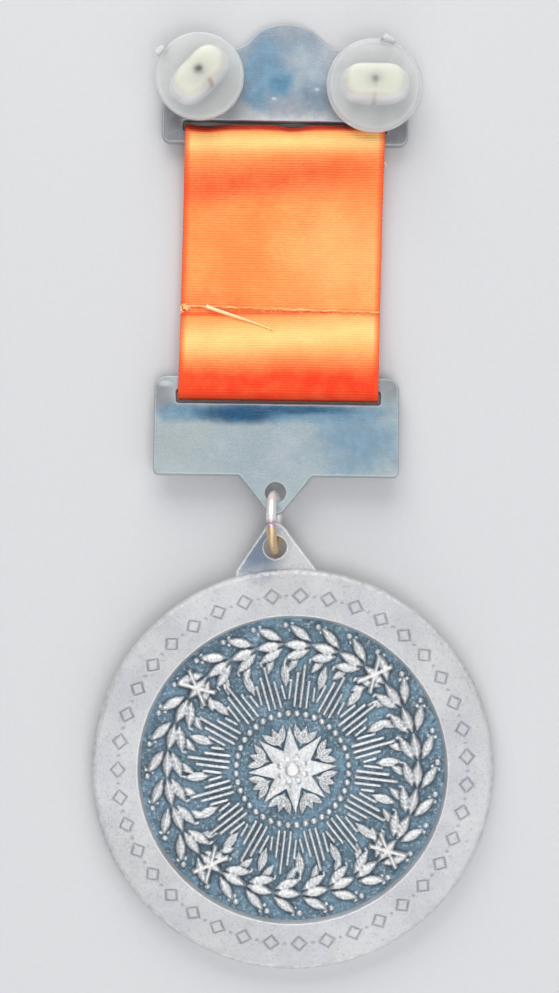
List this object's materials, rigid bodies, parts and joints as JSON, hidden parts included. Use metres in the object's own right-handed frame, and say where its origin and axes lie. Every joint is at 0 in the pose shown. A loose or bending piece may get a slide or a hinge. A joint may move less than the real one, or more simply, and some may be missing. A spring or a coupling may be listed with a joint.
{
  "type": "breast jewel",
  "caption": "Cast round medal on a ribbon between two metal bars, with a jump ring and rubber clutches on the upper bar's pins, lying back up.",
  "frame": {"origin": "on the surface that the jewel lies on, under the middle of its outline seen from above", "axes": "+Y up the ribbon from the medal to the arched bar; +Z out of the jewel's back, which faces up; +X to the right seen from the back"},
  "size_m": [0.05, 0.118, 0.008],
  "materials": {
    "bar_metal": "brushed antique silver with blue patina",
    "medal_metal": "satin antique silver, blue patina in the field",
    "ring_metal": "worn silver plate over brass",
    "ribbon_cloth": "ribbed orange moire weave",
    "clutch_rubber": "milky translucent, satin"
  },
  "bodies": {
    "jewel": {"top_bar": "bar_metal", "ribbon": "ribbon_cloth", "bottom_bar": "bar_metal", "jump_ring": "ring_metal", "medal": "medal_metal"},
    "clutch_left": {"clutch_left": "clutch_rubber"},
    "clutch_right": {"clutch_right": "clutch_rubber"}
  },
  "joints": [
    {"name": "clutch_left_slide", "type": "slide", "parent": "jewel", "child": "clutch_left", "axis": [0.0012, 0.0794, 0.9968], "range_m": [0, 0.009]},
    {"name": "clutch_right_slide", "type": "slide", "parent": "jewel", "child": "clutch_right", "axis": [0.0012, 0.0794, 0.9968], "range_m": [0, 0.009]}
  ]
}
